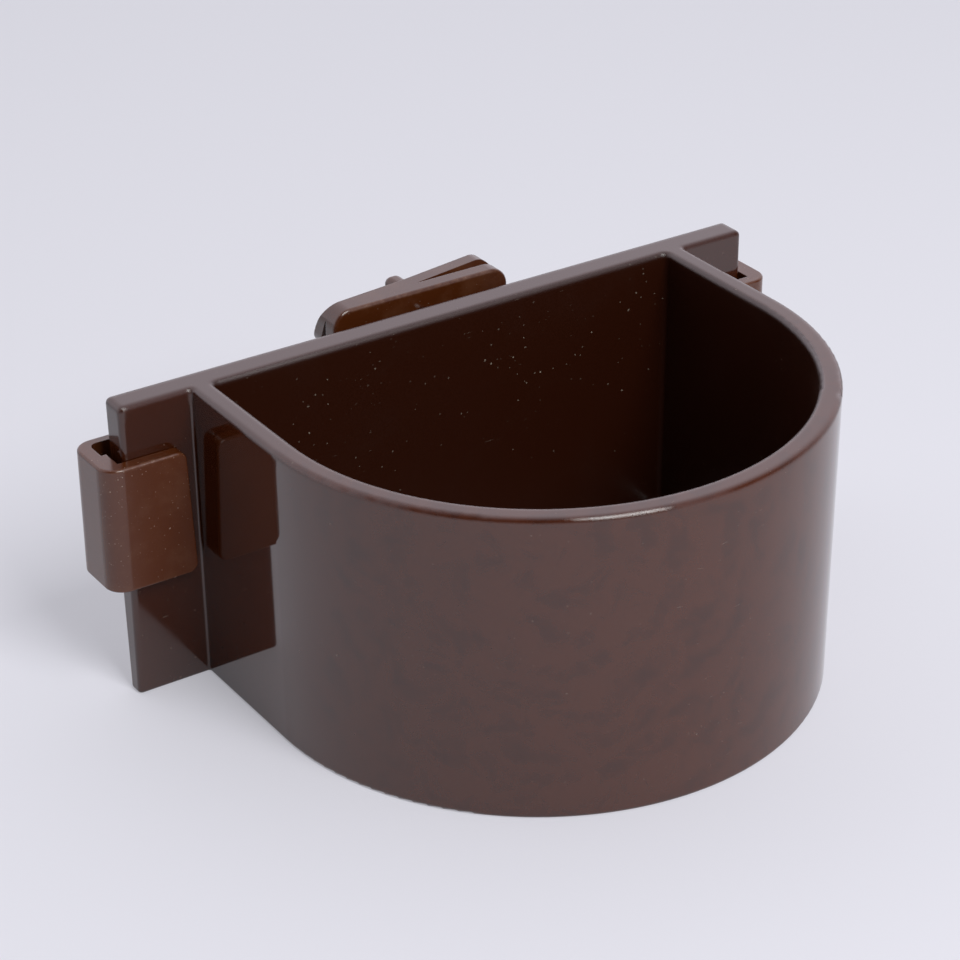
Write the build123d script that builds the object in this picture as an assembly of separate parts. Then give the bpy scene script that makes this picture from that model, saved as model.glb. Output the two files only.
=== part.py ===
"""Hook-on seed cup for a bird cage: cup with back plate, two wing clips and a turn button.

Millimetres, +Z up.  The cup stands on Z = 0.  X = 0 is the middle of the plate, the plate's
front face is Y = 0, the cup lies on the -Y side and the cage on the +Y side.
"""
import math
import os

from build123d import *

# Cup
cup_radius = 43.8
cup_straight = 22.9
cup_draft = 0.3
wall = 3.4
wall_draft = 0.4
floor_thickness = 3.0
floor_round = 1.8

# Back plate
wing_width = 11.5
plate_height = 47.5
plate_thickness = 4.7
plate_draft = 1.8

# Rounded edges of the moulding
edge_round = 0.7
root_round = 0.35
rim_inner_round = 0.7
base_round = 0.45

# Wing clips
clip_height = 20.0
clip_middle = 29.1
clip_flap = 2.1
clip_flare = 0.9
clip_end_wall = 2.2
clip_leg = 1.6
clip_step = 0.8
clip_step_depth = 3.4
clip_wire_gap = 3.0
clip_lip = 1.8
clip_outer_round = 3.0
clip_inner_round = 1.2
clip_flap_round = 1.5
clip_edge_round = 0.4
clip_home_gap = 0.6
clip_clearance = 0.12
clip_play = 0.6
left_clip_out = 0.9
right_clip_out = 1.1
right_clip_up = 0.4

# Turn button
button_length = 31.2
button_height = 8.0
button_corner = 3.0
button_rise = 1.2
button_bar = 2.5
button_edge_round = 0.5
button_wire_gap = 3.0

# Grip wing and rib on the back of the button
wing_thickness = 2.25
wing_lift = 2.5
wing_sink = 0.85
wing_root = 0.1
wing_foot = 0.6
wing_bulge = 0.3
rib_width = 2.9
rib_offset = -0.4
rib_reach = 3.8
rib_drop = 0.55
hub_diameter = 5.2

# Post that the button turns on
post_diameter = 2.4
pin_diameter = 1.8
pin_length = 4.0
pin_bead = 0.25
pin_bead_width = 0.8
pin_clearance = 0.06
bead_clearance = 0.1
button_end_clearance = 0.15

# Sizes that follow from the ones above
plate_half = cup_radius + wing_width
inner_radius = cup_radius - wall
inner_height = plate_height - floor_thickness
inner_corner_round = 0.45 * floor_round
plate_corner_round = 1.25 * edge_round
rib_round = 0.4 * rib_width
clip_bottom = clip_middle - clip_height / 2
clip_top = clip_middle + clip_height / 2
button_bottom = plate_height + button_rise - button_height
button_top = plate_height + button_rise
axis_z = (button_bottom + button_top) / 2


def plate_back_at(z):
    """Y of the plate's back face at height z; the plate is thinner toward its foot."""
    return plate_thickness - plate_draft * (1 - z / plate_height)


bar_front = plate_back_at(axis_z) + button_wire_gap
bar_back = bar_front + button_bar
wing_back = bar_back + wing_thickness
post_end = bar_front - button_end_clearance
pin_end = bar_front + pin_length
turn_axis = Axis((0, 0, axis_z), (0, 1, 0))


def cup_outline(z, radius, back):
    """Half-round outline with straight sides, closed along the line Y = back."""
    with BuildSketch(Plane.XY.offset(z)) as outline:
        with BuildLine():
            Polyline((-radius, -cup_straight), (-radius, back), (radius, back), (radius, -cup_straight))
            ThreePointArc((radius, -cup_straight), (0, -cup_straight - radius), (-radius, -cup_straight))
        make_face()
    return outline.sketch


def outline_on(plane, points):
    """Flat face on a plane, bounded by straight lines through the points."""
    with BuildSketch(plane) as outline:
        with BuildLine():
            Polyline(*points, close=True)
        make_face()
    return outline.sketch


def turned(points):
    """Solid turned about the button's axis from (y, radius) points."""
    radial = Plane(origin=(0, 0, axis_z), x_dir=(0, 1, 0), z_dir=(1, 0, 0))
    return revolve(outline_on(radial, points), turn_axis)


def make_post():
    """Stepped post: a thick neck that spaces the button, then a pin with a snap bead."""
    inside = plate_back_at(axis_z) / 2
    neck = post_diameter / 2
    pin = pin_diameter / 2
    bead_end = pin_end - pin_bead
    bead_start = bead_end - pin_bead_width
    return turned(
        [
            (inside, 0),
            (inside, neck),
            (post_end, neck),
            (post_end, pin),
            (bead_start - pin_bead, pin),
            (bead_start, pin + pin_bead),
            (bead_end, pin + pin_bead),
            (pin_end, pin),
            (pin_end, 0),
        ]
    )


def make_socket():
    """Room inside the button for the pin and its bead, with running clearance."""
    pin = pin_diameter / 2 + pin_clearance
    groove = pin_diameter / 2 + pin_bead + bead_clearance
    groove_end = pin_end - pin_bead + bead_clearance
    groove_start = groove_end - pin_bead_width - 2 * bead_clearance
    return turned(
        [
            (bar_front - 1, 0),
            (bar_front - 1, pin),
            (groove_start - pin_bead, pin),
            (groove_start, groove),
            (groove_end, groove),
            (pin_end + button_end_clearance, pin),
            (pin_end + button_end_clearance, 0),
        ]
    )


def is_corner_seam(edge):
    """True for the smooth lines where a rounded top corner of the plate meets its flats."""
    return abs(edge.tangent_at(0.5).Y) > 0.9 and abs(edge.center().X) > cup_radius + root_round


def make_cup_body():
    """Cup wall, floor and back plate as one moulding, with the button's post on its back."""
    cup_angle = math.degrees(math.atan2(cup_draft, plate_height))
    wall_angle = math.degrees(math.atan2(wall_draft, inner_height))
    foot_back = plate_back_at(0)

    foot_outline = cup_outline(0, cup_radius - cup_draft, foot_back / 3)
    shell = extrude(foot_outline, plate_height, taper=-cup_angle)
    side = outline_on(
        Plane.YZ.offset(-plate_half),
        [(0, 0), (foot_back, 0), (plate_thickness, plate_height), (0, plate_height)],
    )
    plate = extrude(side, 2 * plate_half)
    plate = fillet(plate.edges().filter_by(Axis.Y).group_by(Axis.Z)[-1], plate_corner_round)
    body = plate + shell

    roots = body.edges().filter_by_position(Axis.Y, -0.1, 0.1)
    roots = roots.filter_by_position(Axis.Z, 1, plate_height - 1)
    body = fillet([edge for edge in roots if abs(edge.center().X) < plate_half - 1], root_round)

    outer = body.edges().filter_by_position(Axis.Z, plate_height - plate_corner_round, plate_height)
    outer = [edge for edge in outer if not is_corner_seam(edge)]
    sides = body.faces().filter_by(Axis.X).edges().filter_by(Axis.Y, reverse=True)
    sides = [edge for edge in sides if abs(edge.center().X) > plate_half - 0.01]
    body = fillet(outer + sides, edge_round)
    body = fillet(body.faces().sort_by(Axis.Z)[0].edges(), base_round)

    cavity = extrude(cup_outline(plate_height, inner_radius, 0), -inner_height, taper=wall_angle)
    corners = cavity.edges().filter_by_position(Axis.Z, floor_thickness + 1, plate_height - 1)
    cavity = fillet(corners.filter_by_position(Axis.Y, -wall_draft, 0), inner_corner_round)
    cavity = fillet(cavity.faces().sort_by(Axis.Z)[0].edges(), floor_round)
    body = body - cavity
    rim = body.faces().filter_by(Axis.Z).sort_by(Axis.Z)[-1].inner_wires()[0]
    body = fillet(rim.edges(), rim_inner_round)
    return body + make_post()


def make_clip():
    """C-shaped clip, drawn fully pushed on the left wing."""
    tip = -cup_radius - clip_home_gap
    stop = -plate_half
    end = stop - clip_step
    outer = end - clip_end_wall
    flap_in = -clip_clearance
    flap_out = flap_in - clip_flap
    leg_in = plate_back_at(clip_top) + clip_wire_gap
    leg_out = leg_in + clip_leg
    lip_start = plate_back_at(clip_bottom) / 2

    with BuildSketch(Plane.XY.offset(clip_bottom)) as profile:
        with BuildLine():
            Polyline(
                (tip, flap_out),
                (outer, flap_out),
                (outer, leg_out),
                (tip, leg_out),
                (tip, lip_start),
                (tip - clip_lip, lip_start),
                (tip - clip_lip, leg_in),
                (end, leg_in),
                (end, clip_step_depth),
                (stop, clip_step_depth),
                (stop, flap_in),
                (tip, flap_in),
                close=True,
            )
        make_face()
        fillet(profile.vertices().group_by(Axis.X)[0], clip_outer_round)
        fillet(profile.vertices().sort_by_distance((end, leg_in))[0], clip_inner_round)
        fillet(profile.vertices().sort_by_distance((tip, leg_out))[0], clip_leg / 2)
    body = extrude(profile.sketch, clip_height)

    # The lip stops short of the sloping back of the plate.
    back_room = outline_on(
        Plane.YZ.offset(tip - clip_lip - 1),
        [
            (lip_start - 1, clip_bottom),
            (plate_back_at(clip_bottom) + clip_clearance + clip_play, clip_bottom),
            (plate_back_at(clip_top) + clip_clearance + clip_play, clip_top),
            (lip_start - 1, clip_top),
        ],
    )
    body = body - extrude(back_room, clip_lip + 2)

    # The free edge of the flap leans toward the cup at its foot.
    flap_room = outline_on(
        Plane.XZ.offset(-flap_in),
        [
            (tip - clip_flare, clip_top),
            (tip, clip_bottom),
            (tip + 1, clip_bottom),
            (tip + 1, clip_top),
        ],
    )
    body = body - extrude(flap_room, clip_flap + 1)
    flap_corners = body.edges().filter_by(Axis.Y).filter_by_position(Axis.Y, flap_out, flap_in)
    flap_corners = flap_corners.filter_by_position(Axis.X, tip - clip_flare - 0.01, tip + 0.01)
    body = fillet(flap_corners, clip_flap_round)

    def outside(edge):
        """True for the edges of the clip's outer skin, front, end and back."""
        middle = edge.center()
        if middle.Y < flap_out + 0.01:
            return edge.length < clip_height - 0.01
        if min(abs(middle.Z - clip_top), abs(middle.Z - clip_bottom)) > 0.01:
            return False
        return middle.X < end - clip_end_wall / 2 or middle.Y > leg_in + clip_leg / 2

    return fillet([edge for edge in body.edges() if outside(edge)], clip_edge_round)


def bar_outline(start, depth):
    """Rounded bar of the button, from Y = start toward the cage."""
    face = Plane(origin=(0, start, axis_z), x_dir=(1, 0, 0), z_dir=(0, -1, 0))
    return extrude(face * RectangleRounded(button_length, button_height, button_corner), -depth)


def make_grip_wing():
    """Right half of the twisted grip wing; it lifts off the bar along its upper edge."""
    foot = bar_back + wing_foot
    peak = wing_back + wing_lift
    end_x = button_length / 2
    root = Wire.make_polygon(
        [
            (0, bar_back - wing_root, button_bottom),
            (0, wing_back, button_bottom),
            (0, wing_back, axis_z),
            (0, wing_back, button_top),
            (0, bar_back - wing_root, button_top),
        ]
    )
    end = Wire.make_polygon(
        [
            (end_x, bar_back - wing_sink, button_bottom),
            (end_x, foot, button_bottom),
            (end_x, (foot + peak) / 2 + wing_bulge, axis_z),
            (end_x, peak, button_top),
            (end_x, bar_back + wing_lift, button_top),
        ]
    )
    skin = [Face.make_surface_from_curves(a, b) for a, b in zip(root.edges(), end.edges())]
    return Solid(Shell([Face(root), Face(end)] + skin))


def make_turn_button():
    """Locking bar with a twisted grip wing, a grip rib and a blind socket for the pin."""
    bar = bar_outline(bar_front, button_bar)
    bar = fillet(bar.faces().sort_by(Axis.Y)[0].edges(), button_edge_round)

    wing = make_grip_wing()
    wings = wing + wing.rotate(turn_axis, 180)
    wings = wings & bar_outline(bar_front, button_bar + 2 * wing_thickness + wing_lift)
    hub = turned(
        [
            (bar_back - wing_sink, 0),
            (bar_back - wing_sink, hub_diameter / 2),
            (wing_back, hub_diameter / 2),
            (wing_back, 0),
        ]
    )

    rib_depth = rib_reach + wing_thickness / 2
    rib_middle = wing_back + rib_reach - rib_depth / 2
    rib = Pos(rib_offset, rib_middle, axis_z) * Box(rib_width, rib_depth, button_height - 2 * rib_drop)
    rib = fillet(rib.faces().sort_by(Axis.Y)[-1].edges() + rib.edges().filter_by(Axis.Y), rib_round)
    return bar + wings + hub + rib - make_socket()


clip = make_clip()
pieces = {
    "cup_body": make_cup_body(),
    "left_clip": Pos(-left_clip_out, 0, 0) * clip,
    "right_clip": Pos(right_clip_out, -clip_play, right_clip_up) * mirror(clip, about=Plane.YZ),
    "turn_button": make_turn_button(),
}

os.makedirs("parts", exist_ok=True)
for name, piece in pieces.items():
    export_step(piece, f"parts/{name}.step")
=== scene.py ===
"""Looks of a hook-on seed cup for a bird cage: brown plastics, floor, light and camera.

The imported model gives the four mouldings.  This file gives each of them its finish, and sets
the stage.  Sizes in the node trees are in millimetres, the scene itself is in metres.
"""
import math

import bpy
from bpy.props import FloatProperty, FloatVectorProperty, PointerProperty
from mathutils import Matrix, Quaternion, Vector


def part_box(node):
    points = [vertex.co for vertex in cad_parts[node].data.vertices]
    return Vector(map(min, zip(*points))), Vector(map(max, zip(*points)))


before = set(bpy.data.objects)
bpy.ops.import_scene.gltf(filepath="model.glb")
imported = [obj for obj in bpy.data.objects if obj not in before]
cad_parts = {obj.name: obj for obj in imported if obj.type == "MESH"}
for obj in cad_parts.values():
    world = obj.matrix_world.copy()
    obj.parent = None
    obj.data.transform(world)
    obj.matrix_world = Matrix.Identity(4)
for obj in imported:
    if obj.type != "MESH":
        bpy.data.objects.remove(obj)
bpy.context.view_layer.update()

bl_info = {
    "name": "Seed Cup Looks",
    "version": (1, 0, 0),
    "blender": (4, 5, 0),
    "location": "3D View > Sidebar > Seed Cup",
    "description": "Gloss and satin brown plastics, stage and camera for a hook-on seed cup",
    "category": "Object",
}

# One millimetre in the scene's metres
MM = 0.001

# The cup's round front, in millimetres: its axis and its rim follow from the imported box
CUP_RADIUS = 43.8
cup_low, cup_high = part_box("cup_body")
CUP_AXIS = cup_low.y / MM + CUP_RADIUS
RIM_HEIGHT = cup_high.z / MM

# Refraction of the two skins, which sets how strongly they mirror
GLOSS_IOR = 1.67
SATIN_IOR = 1.6

# Width of the camera's sensor in millimetres, and half the floor's width in metres
SENSOR_WIDTH = 36.0
FLOOR_HALF_WIDTH = 4.0


def colour_property(name, description, default):
    """Colour that a user can change, in linear light."""
    return FloatVectorProperty(
        name=name, description=description, subtype="COLOR", size=3, min=0.0, max=1.0, default=default
    )


def share_property(name, description, default):
    """Plain amount from nothing to one."""
    return FloatProperty(
        name=name, description=description, subtype="FACTOR", min=0.0, max=1.0, default=default
    )


def grain_property(default):
    """Height of a satin grain."""
    description = "Height of the satin grain in millimetres"
    return FloatProperty(name="Grain", description=description, min=0.0, max=0.02, default=default)


def place_property(name, description, default):
    """Place in the scene."""
    return FloatVectorProperty(
        name=name, description=description, subtype="TRANSLATION", unit="LENGTH", size=3, default=default
    )


def angle_property(name, description, degrees):
    """Angle with its default in degrees."""
    return FloatProperty(
        name=name, description=description, subtype="ANGLE", default=math.radians(degrees)
    )


class CupFinish(bpy.types.PropertyGroup):
    """Gloss plastic of the cup and its back plate."""

    brown: colour_property("Brown", "Main colour of the cup", (0.062, 0.0140, 0.0042))
    # Darker brown painted inside the cup as painted shade; the inside is the same plastic as the outside
    inside_shade_brown: colour_property(
        "Dull Brown", "Colour of the unpolished inside", (0.0255, 0.0049, 0.0011)
    )
    # Flow Brown is the darker brown of the flow marks, which also stand in as a painted mottled
    # reflection, and of the painted shade toward the plate; Flow sets the marks and Depth sets the
    # painted shade
    mottle_and_shade_brown: colour_property(
        "Flow Brown", "Colour of the flow marks and toward the plate", (0.024, 0.0047, 0.0013)
    )
    dust: colour_property("Dust", "Colour of the dust grains and lint on it", (0.28, 0.235, 0.185))
    flow: share_property("Flow Marks", "How strongly the flow marks show", 0.55)
    depth: share_property("Depth", "How much the brown deepens toward the plate", 0.6)
    dust_cover: share_property("Dust Cover", "Share of the places for dust that hold a grain", 0.24)
    roughness: share_property("Roughness", "Roughness of the polished skin", 0.04)
    dullness: share_property("Dullness", "Roughness that the inside adds", 0.24)
    wing_dullness: share_property("Wing Dullness", "Roughness that the plate's wings add", 0.06)
    smears: share_property("Smears", "Roughness that finger smears add", 0.05)
    rubbing: share_property("Rubbing", "Roughness that rubbing adds along the rim", 0.03)
    scratches: share_property("Scratches", "Roughness that hairline scratches add", 0.12)
    grit: share_property("Grit", "Roughness that dust and lint add", 0.5)


class ClipFinish(bpy.types.PropertyGroup):
    """Satin plastic of the two wing clips."""

    brown: colour_property("Brown", "Main colour of the clips", (0.079, 0.0192, 0.0043))
    # The worn brown is the lighter colour of scuffs and rubbed edges; along the edges, set by Rubbing,
    # it is also a painted highlight
    wear_and_highlight_brown: colour_property("Worn Brown", "Colour where the skin is rubbed", (0.16, 0.070, 0.036))
    dust: colour_property("Dust", "Colour of the dust grains on them", (0.32, 0.235, 0.17))
    rubbing: share_property("Rubbing", "How strongly the rubbed edges show", 0.55)
    dust_cover: share_property("Dust Cover", "Share of the places for dust that hold a grain", 0.85)
    roughness: share_property("Roughness", "Roughness of the satin skin", 0.2)
    grain: grain_property(0.0022)


class ButtonFinish(bpy.types.PropertyGroup):
    """Satin plastic of the turn button."""

    brown: colour_property("Brown", "Main colour of the button", (0.060, 0.0145, 0.0033))
    # The worn brown is the lighter colour of scuffs and rubbed edges; along the upper edge, set by
    # Rubbing, it is also a painted highlight
    wear_and_highlight_brown: colour_property("Worn Brown", "Colour where the skin is rubbed", (0.15, 0.066, 0.034))
    dust: colour_property("Dust", "Colour of the dust grains on it", (0.42, 0.33, 0.25))
    rubbing: share_property("Rubbing", "How strongly the rubbed edge shows", 0.5)
    dust_cover: share_property("Dust Cover", "Share of the places for dust that hold a grain", 0.3)
    roughness: share_property("Roughness", "Roughness of the satin skin", 0.16)
    grain: grain_property(0.0015)


class StageLook(bpy.types.PropertyGroup):
    """Floor, room, lamp and camera."""

    floor: colour_property("Floor", "Colour of the floor", (0.78, 0.775, 0.84))
    pale: colour_property("Pale", "Colour that keeps the floor pale in the shadow", (0.77, 0.77, 0.835))
    floor_glow: share_property("Floor Glow", "Share of the floor that stays pale in the shadow", 0.35)
    backdrop: colour_property("Backdrop", "Pale background above the floor", (0.58, 0.58, 0.625))
    horizon: colour_property("Horizon", "Pale room that is mirrored from behind", (0.97, 0.91, 1.0))
    front: colour_property("Front", "Dim room that is mirrored from in front", (0.035, 0.035, 0.039))
    curtain: colour_property(
        "Curtain", "Half-lit room that is mirrored from in front, on the right", (0.48, 0.43, 0.48)
    )
    fill: colour_property("Fill", "Soft light of the room from the right", (0.62, 0.62, 0.65))
    shade: colour_property("Shade", "Soft light of the room from the left", (0.09, 0.09, 0.095))
    back_light: colour_property("Back Light", "Soft light of the room from behind", (0.70, 0.70, 0.72))
    room_strength: FloatProperty(
        name="Room Strength", description="Strength of the room's light", min=0.0, default=1.25
    )
    key_power: FloatProperty(
        name="Key Power", description="Power of the soft lamp", subtype="POWER", min=0.0, default=8.8
    )
    key_place: place_property("Key Place", "Place of the soft lamp, high in front", (0.04, -0.76, 0.80))
    key_aim: place_property("Key Aim", "Point that the soft lamp is turned to", (0.0, -0.02, 0.02))
    key_size: FloatVectorProperty(
        name="Key Size", description="Width and height of the soft lamp", unit="LENGTH",
        size=2, min=0.0, default=(0.46, 0.6),
    )
    target: place_property(
        "Target", "Point that the camera looks at", (-0.008066, -0.020225, 0.030857)
    )
    azimuth: angle_property("Azimuth", "Turn of the camera round the cup", -33.362)
    elevation: angle_property("Elevation", "Height of the camera as an angle", 28.538)
    roll: angle_property("Roll", "Tilt of the camera about its own axis", -0.411)
    distance: FloatProperty(
        name="Distance", description="From the camera to its target", unit="LENGTH",
        min=0.05, default=0.41465,
    )
    lens: FloatProperty(
        name="Lens", description="Focal length in millimetres", unit="CAMERA",
        min=10.0, default=106.66,
    )


class SeedCupLook(bpy.types.PropertyGroup):
    """All settings of the seed cup."""

    cup: PointerProperty(type=CupFinish, name="Cup", description="Finish of the cup and its plate")
    clips: PointerProperty(type=ClipFinish, name="Clips", description="Finish of the wing clips")
    button: PointerProperty(type=ButtonFinish, name="Button", description="Finish of the button")
    stage: PointerProperty(type=StageLook, name="Stage", description="Floor, light and camera")


def add(tree, kind, inputs=None, **settings):
    """New node; inputs maps a socket's name or number to a value, or to a socket to link from."""
    made = tree.nodes.new(kind)
    for name, value in settings.items():
        setattr(made, name, value)
    for key, value in (inputs or {}).items():
        if isinstance(value, bpy.types.NodeSocket):
            tree.links.new(value, made.inputs[key])
        else:
            made.inputs[key].default_value = value
    return made


def maths(tree, operation, first, second=0.0, clamp=False):
    """Result of one Math node."""
    inputs = {0: first, 1: second}
    return add(tree, "ShaderNodeMath", inputs, operation=operation, use_clamp=clamp).outputs[0]


def product(tree, first, *others):
    """Numbers multiplied together."""
    for other in others:
        first = maths(tree, "MULTIPLY", first, other)
    return first


def larger(tree, first, second):
    """The larger of two numbers."""
    return maths(tree, "MAXIMUM", first, second)


def summed(tree, base, terms):
    """Base plus each (value, factor) pair's product, held between nothing and one."""
    total = base
    for value, factor in terms:
        total = maths(tree, "ADD", total, product(tree, value, factor))
    return maths(tree, "ADD", total, clamp=True)


def vectors(tree, operation, first, second=(0.0, 0.0, 0.0)):
    """Vector result of one Vector Math node."""
    inputs = {0: first, 1: second}
    return add(tree, "ShaderNodeVectorMath", inputs, operation=operation).outputs["Vector"]


def scaled(tree, vector, factor):
    """Vector times a number."""
    inputs = {0: vector, "Scale": factor}
    return add(tree, "ShaderNodeVectorMath", inputs, operation="SCALE").outputs["Vector"]


def split(tree, vector):
    """The x, y and z of a vector."""
    return add(tree, "ShaderNodeSeparateXYZ", {0: vector}).outputs


def face_normal(tree):
    """The way that a face looks."""
    return tree.nodes.new("ShaderNodeNewGeometry").outputs["Normal"]


def ramp(tree, value, low, high, to_low=0.0, to_high=1.0, smooth=True):
    """Value mapped from low..high to another range, held at its ends."""
    kind = "SMOOTHSTEP" if smooth else "LINEAR"
    inputs = {"Value": value, "From Min": low, "From Max": high, "To Min": to_low, "To Max": to_high}
    return add(tree, "ShaderNodeMapRange", inputs, interpolation_type=kind).outputs["Result"]


def noise(tree, place, scale, detail=2.0, roughness=0.5, distortion=0.0, output="Fac"):
    """Noise with its features per millimetre."""
    inputs = {
        "Vector": place, "Scale": scale, "Detail": detail, "Roughness": roughness,
        "Distortion": distortion,
    }
    return add(tree, "ShaderNodeTexNoise", inputs).outputs[output]


def colour_mix(tree, share, first, second):
    """Colour between two colours."""
    return add(tree, "ShaderNodeMix", {0: share, 6: first, 7: second}, data_type="RGBA").outputs[2]


def opaque(colour):
    """Colour with full alpha."""
    return (*colour, 1.0)


def new_group(name, numbers, result):
    """Empty shader group with a Place input, number inputs with defaults, and one number output."""
    tree = bpy.data.node_groups.new(name, "ShaderNodeTree")
    tree.interface.new_socket("Place", in_out="INPUT", socket_type="NodeSocketVector")
    for label, value in numbers.items():
        socket = tree.interface.new_socket(label, in_out="INPUT", socket_type="NodeSocketFloat")
        socket.default_value = value
    tree.interface.new_socket(result, in_out="OUTPUT", socket_type="NodeSocketFloat")
    given = tree.nodes.new("NodeGroupInput").outputs
    return tree, given, tree.nodes.new("NodeGroupOutput").inputs[result]


def dust_group():
    """Dust grains: small ragged spots, some larger and paler than others, gathered in patches."""
    numbers = {"Spacing": 2.0, "Size": 0.1, "Cover": 0.5}
    tree, given, result = new_group("Dust Grains", numbers, "Grains")
    smallest, faintest = 0.25, 0.25
    stir_reach = 0.35

    stir = scaled(tree, noise(tree, given["Place"], 3.5, output="Color"), stir_reach)
    ragged = vectors(tree, "ADD", given["Place"], stir)
    close = maths(tree, "DIVIDE", 1.0, given["Spacing"])
    cell = add(tree, "ShaderNodeTexVoronoi", {"Vector": ragged, "Scale": close}).outputs
    draws = add(tree, "ShaderNodeSeparateColor", {"Color": cell["Color"]}).outputs

    largest = maths(tree, "DIVIDE", given["Size"], given["Spacing"])
    radius = product(tree, largest, ramp(tree, draws[0], 0.0, 1.0, smallest, 1.0, smooth=False))
    inside = maths(tree, "SUBTRACT", 1.0, maths(tree, "DIVIDE", cell["Distance"], radius))
    spot = ramp(tree, inside, 0.0, 0.5)
    kept = ramp(tree, maths(tree, "SUBTRACT", given["Cover"], draws[1]), -0.15, 0.15)
    patch = ramp(tree, noise(tree, given["Place"], 0.07, detail=3.0), 0.34, 0.56)
    paleness = ramp(tree, draws[2], 0.0, 1.0, faintest, 1.0)
    tree.links.new(product(tree, spot, kept, patch, paleness), result)
    return tree


def hair_group():
    """Fine hairs: short bent lines, for lint and for hairline scratches."""
    numbers = {"Length": 6.0, "Width": 0.08, "Bend": 1.5, "Turn": 0.0}
    tree, given, result = new_group("Fine Hairs", numbers, "Hairs")
    reach = 0.06
    middle_grey = (0.5, 0.5, 0.5)
    lean = 1.7

    drift = noise(tree, given["Place"], 0.12, detail=1.0, output="Color")
    pull = scaled(tree, vectors(tree, "SUBTRACT", drift, middle_grey), given["Bend"])
    bent = vectors(tree, "ADD", given["Place"], pull)
    leant = product(tree, given["Turn"], lean)
    turn = add(tree, "ShaderNodeCombineXYZ", {0: given["Turn"], 1: leant, 2: given["Turn"]})
    along = maths(tree, "DIVIDE", reach, given["Length"])
    across = maths(tree, "DIVIDE", reach, given["Width"])
    scale = add(tree, "ShaderNodeCombineXYZ", {0: along, 1: across, 2: across})
    inputs = {"Vector": bent, "Rotation": turn.outputs[0], "Scale": scale.outputs[0]}
    laid = add(tree, "ShaderNodeMapping", inputs, vector_type="POINT").outputs[0]
    cell = add(tree, "ShaderNodeTexVoronoi", {"Vector": laid, "Scale": 1.0}).outputs
    tree.links.new(ramp(tree, cell["Distance"], 1.25 * reach, 0.5 * reach), result)
    return tree


def shared_groups():
    """The dust and hair groups, made once."""
    dust = bpy.data.node_groups.get("Dust Grains") or dust_group()
    hairs = bpy.data.node_groups.get("Fine Hairs") or hair_group()
    return dust, hairs


def group(tree, source, place, **numbers):
    """Output of a group node with its numbers set."""
    made = add(tree, "ShaderNodeGroup", node_tree=source)
    tree.links.new(place, made.inputs["Place"])
    for label, value in numbers.items():
        made.inputs[label.title()].default_value = value
    return made.outputs[0]


def new_plastic(name, ior):
    """Material with a Principled shader, and its place in millimetres."""
    material = bpy.data.materials.new(name)
    material.use_nodes = True
    tree = material.node_tree
    tree.nodes.clear()
    output = tree.nodes.new("ShaderNodeOutputMaterial")
    shader = add(tree, "ShaderNodeBsdfPrincipled", {"IOR": ior})
    tree.links.new(shader.outputs[0], output.inputs["Surface"])
    spot = tree.nodes.new("ShaderNodeTexCoord").outputs["Object"]
    scale = (1 / MM, 1 / MM, 1 / MM)
    place = add(tree, "ShaderNodeMapping", {"Vector": spot, "Scale": scale}).outputs[0]
    return material, tree, shader, place


def set_bump(tree, shader, height, easing):
    """Bump from a height in millimetres, over edges that are eased by a radius in metres."""
    eased = add(tree, "ShaderNodeBevel", {"Radius": easing}, samples=6).outputs[0]
    inputs = {"Strength": 1.0, "Distance": MM, "Height": height, "Normal": eased}
    bump = add(tree, "ShaderNodeBump", inputs)
    tree.links.new(bump.outputs[0], shader.inputs["Normal"])


def flow_marks_and_painted_reflection(tree, place):
    """Flow marks of the moulding, which also serve as a painted mottled reflection: faint clouds, in
    rings round a point by the front of the rim.
    """
    ring_middle = (-24.0, -60.0, 44.0)
    inputs = {
        "Vector": vectors(tree, "SUBTRACT", place, ring_middle), "Scale": 0.055,
        "Distortion": 9.0, "Detail": 4.0, "Detail Scale": 1.3, "Detail Roughness": 0.62,
    }
    settings = {"wave_type": "RINGS", "rings_direction": "SPHERICAL"}
    rings = add(tree, "ShaderNodeTexWave", inputs, **settings).outputs["Fac"]
    clouds = noise(tree, place, 0.17, detail=6.0, roughness=0.66, distortion=0.8)
    return product(tree, ramp(tree, clouds, 0.38, 0.66), ramp(tree, rings, 0.0, 0.8, 0.3, 1.0))


def painted_plate_shade(tree, place, depth):
    """Painted shade: how much the brown darkens toward the plate, except on faces that look backward."""
    begin, end = -46.0, -6.0
    toward_plate = ramp(tree, split(tree, place)[1], begin, end, 0.0, depth)
    not_backward = ramp(tree, split(tree, face_normal(tree))[1], 0.6, 0.2)
    return product(tree, toward_plate, not_backward)


def inside_faces(tree, place):
    """One on the inside of the cup, and nothing on the other faces."""
    # The inside fades in across the wall, and on faces that look up also down from the rim
    side_none, side_full = CUP_RADIUS - 0.8, CUP_RADIUS - 1.8
    height_none, height_full = RIM_HEIGHT - 7.5, RIM_HEIGHT - 11.5
    level = (1.0, 1.0, 0.0)

    from_axis = vectors(tree, "SUBTRACT", place, (0.0, CUP_AXIS, 0.0))
    outward = vectors(tree, "NORMALIZE", vectors(tree, "MULTIPLY", from_axis, level))
    normal = face_normal(tree)
    dot = add(tree, "ShaderNodeVectorMath", {0: normal, 1: outward}, operation="DOT_PRODUCT")
    walls = ramp(tree, dot.outputs["Value"], -0.1, -0.4)
    side, _, height = split(tree, place)
    looks_up = ramp(tree, split(tree, normal)[2], 0.2, 0.5)
    floor = product(tree, looks_up, ramp(tree, height, height_none, height_full))
    within = ramp(tree, maths(tree, "ABSOLUTE", side), side_none, side_full)
    return product(tree, larger(tree, walls, floor), within)


def wing_faces(tree, place):
    """One on the plate's two wings, and nothing on the cup between them."""
    side = maths(tree, "ABSOLUTE", split(tree, place)[0])
    return ramp(tree, side, CUP_RADIUS, CUP_RADIUS + 0.6)


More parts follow.
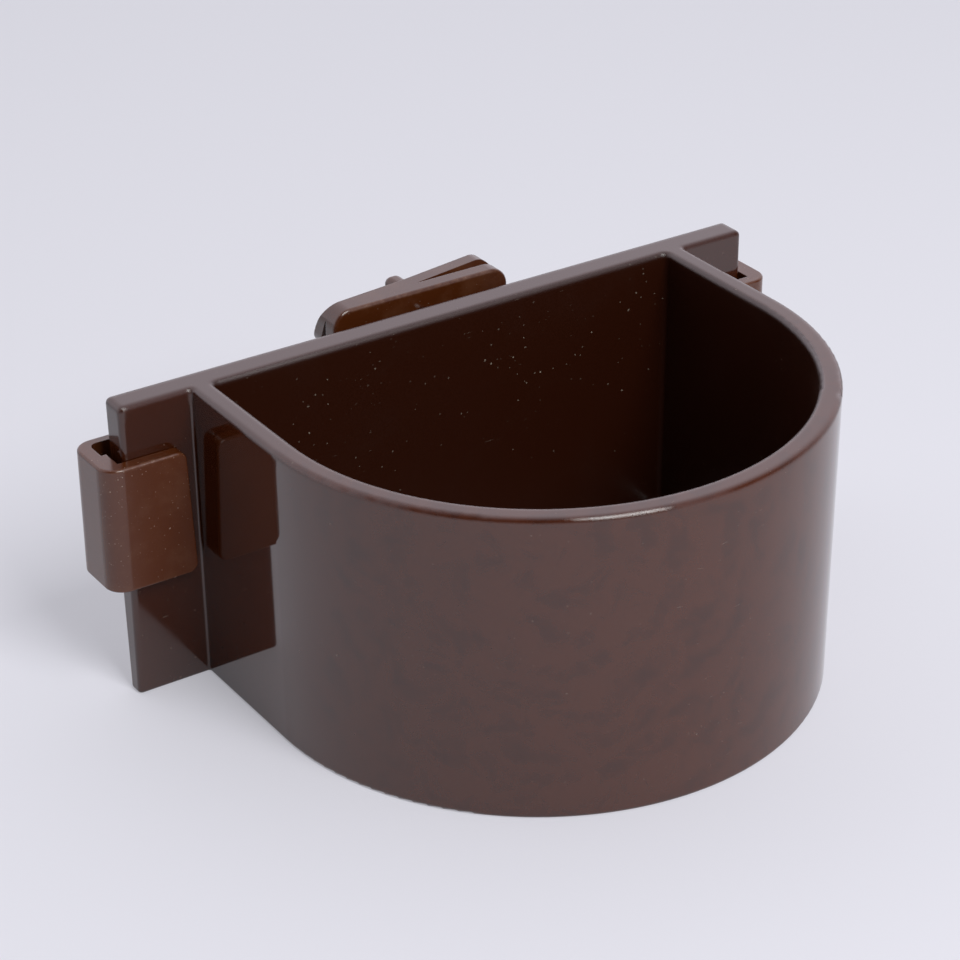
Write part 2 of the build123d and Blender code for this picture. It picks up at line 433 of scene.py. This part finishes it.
def gloss_plastic(look, dust, hairs):
    """Polished brown plastic with faint flow marks that are also a painted reflection, painted shade
    inside the cup and toward the plate, smears, hairline scratches, dust and lint.
    """
    material, tree, shader, place = new_plastic("cup_gloss_brown", GLOSS_IOR)
    height = split(tree, place)[2]
    inside = inside_faces(tree, place)

    # The flow marks are partly a painted mottled reflection; the brown is darkened toward the plate and
    # inside the cup as painted shade
    flow = product(tree, flow_marks_and_painted_reflection(tree, place), look.flow)
    flow = larger(tree, flow, painted_plate_shade(tree, place, look.depth))
    brown = colour_mix(tree, flow, opaque(look.brown), opaque(look.mottle_and_shade_brown))
    brown = colour_mix(tree, inside, brown, opaque(look.inside_shade_brown))

    outside_dust, lint_strength = 0.3, 0.5
    grains = group(tree, dust, place, spacing=1.3, size=0.22, cover=look.dust_cover)
    grains = product(tree, grains, ramp(tree, inside, 0.0, 1.0, outside_dust, 1.0))
    lint = group(tree, hairs, place, length=0.9, width=0.03, bend=5.0, turn=0.6)
    lint = product(tree, lint, ramp(tree, noise(tree, place, 0.05), 0.51, 0.57))
    specks = larger(tree, grains, product(tree, lint, lint_strength))
    tree.links.new(colour_mix(tree, specks, brown, opaque(look.dust)), shader.inputs["Base Color"])

    scratches = larger(
        tree,
        group(tree, hairs, place, length=5.0, width=0.02, bend=3.0, turn=0.35),
        group(tree, hairs, place, length=3.5, width=0.02, bend=4.0, turn=2.2),
    )
    smears = noise(tree, place, 0.06, detail=5.0, roughness=0.6, distortion=1.2)
    added = [
        (inside, look.dullness),
        (wing_faces(tree, place), look.wing_dullness),
        (ramp(tree, height, RIM_HEIGHT - 1.2, RIM_HEIGHT - 0.6), look.rubbing),
        (ramp(tree, smears, 0.45, 0.75), look.smears),
        (scratches, look.scratches),
        (specks, look.grit),
    ]
    tree.links.new(summed(tree, look.roughness, added), shader.inputs["Roughness"])

    edge_easing, rim_easing = 0.4 * MM, 1.0 * MM
    easing = ramp(tree, height, RIM_HEIGHT - 3.0, RIM_HEIGHT - 1.5, edge_easing, rim_easing)
    waviness = 0.022
    set_bump(tree, shader, product(tree, noise(tree, place, 0.045), waviness), easing)
    return material


def satin_plastic(name, look, rubbed_and_highlit_edges, dust, hairs):
    """Satin brown plastic with a fine grain, rubbed edges that also carry a painted highlight, scuffs
    and dust.
    """
    material, tree, shader, place = new_plastic(name, SATIN_IOR)
    scuff_wear, cloud_wear, powder_strength = 0.22, 0.22, 0.5

    breakup = ramp(tree, noise(tree, place, 0.9, detail=5.0, roughness=0.7), 0.34, 0.7)
    # The rubbed edges are worn and also a painted highlight: a lighter brown along the edges
    rub_and_highlight = product(tree, rubbed_and_highlit_edges(tree, place), breakup)
    scuffs = larger(
        tree,
        group(tree, hairs, place, length=1.6, width=0.03, bend=2.0, turn=0.5),
        group(tree, hairs, place, length=1.2, width=0.03, bend=2.5, turn=1.9),
    )
    cloud = ramp(tree, noise(tree, place, 0.22, detail=5.0, roughness=0.62), 0.42, 0.72)
    worn_and_highlit = summed(tree, 0.0, [(rub_and_highlight, look.rubbing), (scuffs, scuff_wear), (cloud, cloud_wear)])
    brown = colour_mix(tree, worn_and_highlit, opaque(look.brown), opaque(look.wear_and_highlight_brown))
    grains = group(tree, dust, place, spacing=0.75, size=0.12, cover=look.dust_cover)
    powder = group(tree, dust, place, spacing=0.4, size=0.08, cover=look.dust_cover)
    specks = larger(tree, grains, product(tree, powder, powder_strength))
    tree.links.new(colour_mix(tree, specks, brown, opaque(look.dust)), shader.inputs["Base Color"])

    # What each adds to the roughness; scuffs are a little smoother than the skin
    added = [(cloud, 0.06), (rub_and_highlight, 0.1), (scuffs, -0.06), (specks, 0.3)]
    tree.links.new(summed(tree, look.roughness, added), shader.inputs["Roughness"])

    waviness = 0.008
    edge_easing = 0.2 * MM
    grain = noise(tree, place, 3.4, detail=3.0, roughness=0.6)
    height = summed(tree, 0.0, [(grain, look.grain), (noise(tree, place, 0.35), waviness)])
    set_bump(tree, shader, height, edge_easing)
    return material


def band(tree, value, edge, width):
    """One near a value's edge, fading to nothing over a width, all in millimetres."""
    full_width = 0.3 * width
    away = maths(tree, "ABSOLUTE", maths(tree, "SUBTRACT", value, edge))
    return ramp(tree, away, width, full_width)


def clip_edges(tree, place):
    """Where the clips are rubbed and carry a painted highlight: the upper and lower edges of their
    flaps.
    """
    end_width, front_width, foot_share = 0.6, 0.8, 0.6
    low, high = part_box("left_clip")
    _, depth, height = split(tree, place)
    top = band(tree, height, high.z / MM, end_width)
    foot = band(tree, height, low.z / MM, end_width)
    ends = larger(tree, top, product(tree, foot, foot_share))
    return product(tree, ends, band(tree, depth, low.y / MM, front_width))


def button_edges(tree, place):
    """Where the button is rubbed and carries a painted highlight: along the upper edge of its front."""
    width = 0.8
    low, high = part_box("turn_button")
    _, depth, height = split(tree, place)
    top = band(tree, height, high.z / MM, width)
    return product(tree, top, band(tree, depth, low.y / MM, width))


def dress(node, material):
    """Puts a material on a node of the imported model."""
    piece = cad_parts[node]
    piece.data.materials.clear()
    piece.data.materials.append(material)
    return piece


class SEEDCUP_OT_cup_body(bpy.types.Operator):
    """Give the cup and its back plate their polished brown plastic"""

    bl_idname = "seedcup.cup_body"
    bl_label = "Cup Body"

    def execute(self, context):
        material = gloss_plastic(context.scene.seed_cup.cup, *shared_groups())
        dress("cup_body", material)
        return {"FINISHED"}


class SEEDCUP_OT_wing_clips(bpy.types.Operator):
    """Give the two wing clips their scuffed satin plastic"""

    bl_idname = "seedcup.wing_clips"
    bl_label = "Wing Clips"

    def execute(self, context):
        look = context.scene.seed_cup.clips
        material = satin_plastic("clip_satin_brown", look, clip_edges, *shared_groups())
        for node in ("left_clip", "right_clip"):
            dress(node, material)
        return {"FINISHED"}


class SEEDCUP_OT_turn_button(bpy.types.Operator):
    """Give the turn button its satin plastic, rubbed and with a painted highlight along the upper edge
    """

    bl_idname = "seedcup.turn_button"
    bl_label = "Turn Button"

    def execute(self, context):
        look = context.scene.seed_cup.button
        material = satin_plastic("button_satin_brown", look, button_edges, *shared_groups())
        dress("turn_button", material)
        return {"FINISHED"}


def pale_floor(look):
    """Matt material of the floor; a share of it stays pale where it is seen or mirrored."""
    material = bpy.data.materials.new("pale_floor")
    material.use_nodes = True
    tree = material.node_tree
    shader = tree.nodes["Principled BSDF"]
    values = {"Base Color": opaque(look.floor), "Roughness": 0.8, "Specular IOR Level": 0.2}
    for label, value in values.items():
        shader.inputs[label].default_value = value
    glow = add(tree, "ShaderNodeEmission", {"Color": opaque(look.pale)})
    ray = tree.nodes.new("ShaderNodeLightPath").outputs
    seen = larger(tree, ray["Is Camera Ray"], ray["Is Glossy Ray"])
    seen = larger(tree, seen, ray["Is Transmission Ray"])
    share = product(tree, seen, look.floor_glow)
    surface = add(tree, "ShaderNodeMixShader", {0: share, 1: shader.outputs[0], 2: glow.outputs[0]})
    tree.links.new(surface.outputs[0], tree.nodes["Material Output"].inputs["Surface"])
    return material


def floor_sheet(look):
    """Plain pale floor under the cup."""
    half = FLOOR_HALF_WIDTH
    corners = [(-half, -half, 0), (half, -half, 0), (half, half, 0), (-half, half, 0)]
    mesh = bpy.data.meshes.new("floor")
    mesh.from_pydata(corners, [], [(0, 1, 2, 3)])
    mesh.materials.append(pale_floor(look))
    floor = bpy.data.objects.new("floor", mesh)
    bpy.context.scene.collection.objects.link(floor)


def room_light(look):
    """Soft light of the room, mostly from the right and from behind.

    Gloss mirrors a room that is pale behind the cup and dim in front of it, with a half-lit
    stretch at the front right.  The camera sees a pale background.
    """
    world = bpy.data.worlds.new("room")
    world.use_nodes = True
    tree = world.node_tree
    right, back, _ = split(tree, tree.nodes.new("ShaderNodeTexCoord").outputs["Generated"])
    beside = product(tree, ramp(tree, right, 0.15, 0.3), ramp(tree, right, 0.66, 0.52))
    front = colour_mix(tree, beside, opaque(look.front), opaque(look.curtain))
    shown = colour_mix(tree, ramp(tree, back, -0.6, 0.45), front, opaque(look.horizon))
    light = colour_mix(tree, ramp(tree, right, -0.3, 0.7), opaque(look.shade), opaque(look.fill))
    light = colour_mix(tree, ramp(tree, back, 0.1, 0.7), light, opaque(look.back_light))
    ray = tree.nodes.new("ShaderNodeLightPath").outputs
    mirrored = larger(tree, ray["Is Glossy Ray"], ray["Is Transmission Ray"])
    tint = colour_mix(tree, mirrored, light, shown)
    tint = colour_mix(tree, ray["Is Camera Ray"], tint, opaque(look.backdrop))
    tree.links.new(tint, tree.nodes["Background"].inputs["Color"])
    tree.nodes["Background"].inputs["Strength"].default_value = look.room_strength
    bpy.context.scene.world = world


def key_lamp(look):
    """Soft lamp high in front, turned to the cup."""
    data = bpy.data.lights.new("key_lamp", "AREA")
    data.shape = "RECTANGLE"
    data.size, data.size_y = look.key_size
    data.energy = look.key_power
    made = bpy.data.objects.new("key_lamp", data)
    made.location = look.key_place
    made.rotation_mode = "QUATERNION"
    way = Vector(look.key_aim) - Vector(look.key_place)
    made.rotation_quaternion = way.to_track_quat("-Z", "Y")
    bpy.context.scene.collection.objects.link(made)


def camera(look):
    """Camera at the set angle, looking at its target."""
    data = bpy.data.cameras.new("camera")
    data.sensor_width = SENSOR_WIDTH
    data.lens = look.lens
    data.clip_start, data.clip_end = 0.01, 50.0
    made = bpy.data.objects.new("camera", data)
    level = math.cos(look.elevation)
    right, front = math.sin(look.azimuth) * level, math.cos(look.azimuth) * level
    back = Vector((right, -front, math.sin(look.elevation)))
    made.location = Vector(look.target) + look.distance * back
    made.rotation_mode = "QUATERNION"
    made.rotation_quaternion = (-back).to_track_quat("-Z", "Y") @ Quaternion((0, 0, 1), look.roll)
    bpy.context.scene.collection.objects.link(made)
    bpy.context.scene.camera = made


class SEEDCUP_OT_stage(bpy.types.Operator):
    """Set the plain pale floor, the room's light, the soft lamp and the camera"""

    bl_idname = "seedcup.stage"
    bl_label = "Stage"

    def execute(self, context):
        look = context.scene.seed_cup.stage
        context.scene.view_settings.view_transform = "Standard"
        floor_sheet(look)
        room_light(look)
        key_lamp(look)
        camera(look)
        return {"FINISHED"}


class SEEDCUP_PT_sidebar(bpy.types.Panel):
    """Seed cup finishes and stage"""

    bl_idname = "SEEDCUP_PT_sidebar"
    bl_label = "Seed Cup"
    bl_space_type = "VIEW_3D"
    bl_region_type = "UI"
    bl_category = "Seed Cup"

    def draw(self, context):
        look = context.scene.seed_cup
        for part, operator in steps:
            box = self.layout.box()
            box.operator(operator)
            settings = getattr(look, part)
            for label in settings.bl_rna.properties.keys():
                if label not in {"rna_type", "name"}:
                    box.prop(settings, label)


steps = (
    ("cup", "seedcup.cup_body"),
    ("clips", "seedcup.wing_clips"),
    ("button", "seedcup.turn_button"),
    ("stage", "seedcup.stage"),
)

classes = (
    CupFinish,
    ClipFinish,
    ButtonFinish,
    StageLook,
    SeedCupLook,
    SEEDCUP_OT_cup_body,
    SEEDCUP_OT_wing_clips,
    SEEDCUP_OT_turn_button,
    SEEDCUP_OT_stage,
    SEEDCUP_PT_sidebar,
)


def register():
    for kind in classes:
        bpy.utils.register_class(kind)
    bpy.types.Scene.seed_cup = PointerProperty(type=SeedCupLook)


def unregister():
    del bpy.types.Scene.seed_cup
    for kind in reversed(classes):
        bpy.utils.unregister_class(kind)


def main():
    register()
    bpy.ops.seedcup.cup_body()
    bpy.ops.seedcup.wing_clips()
    bpy.ops.seedcup.turn_button()
    bpy.ops.seedcup.stage()


if __name__ == "__main__":
    main()
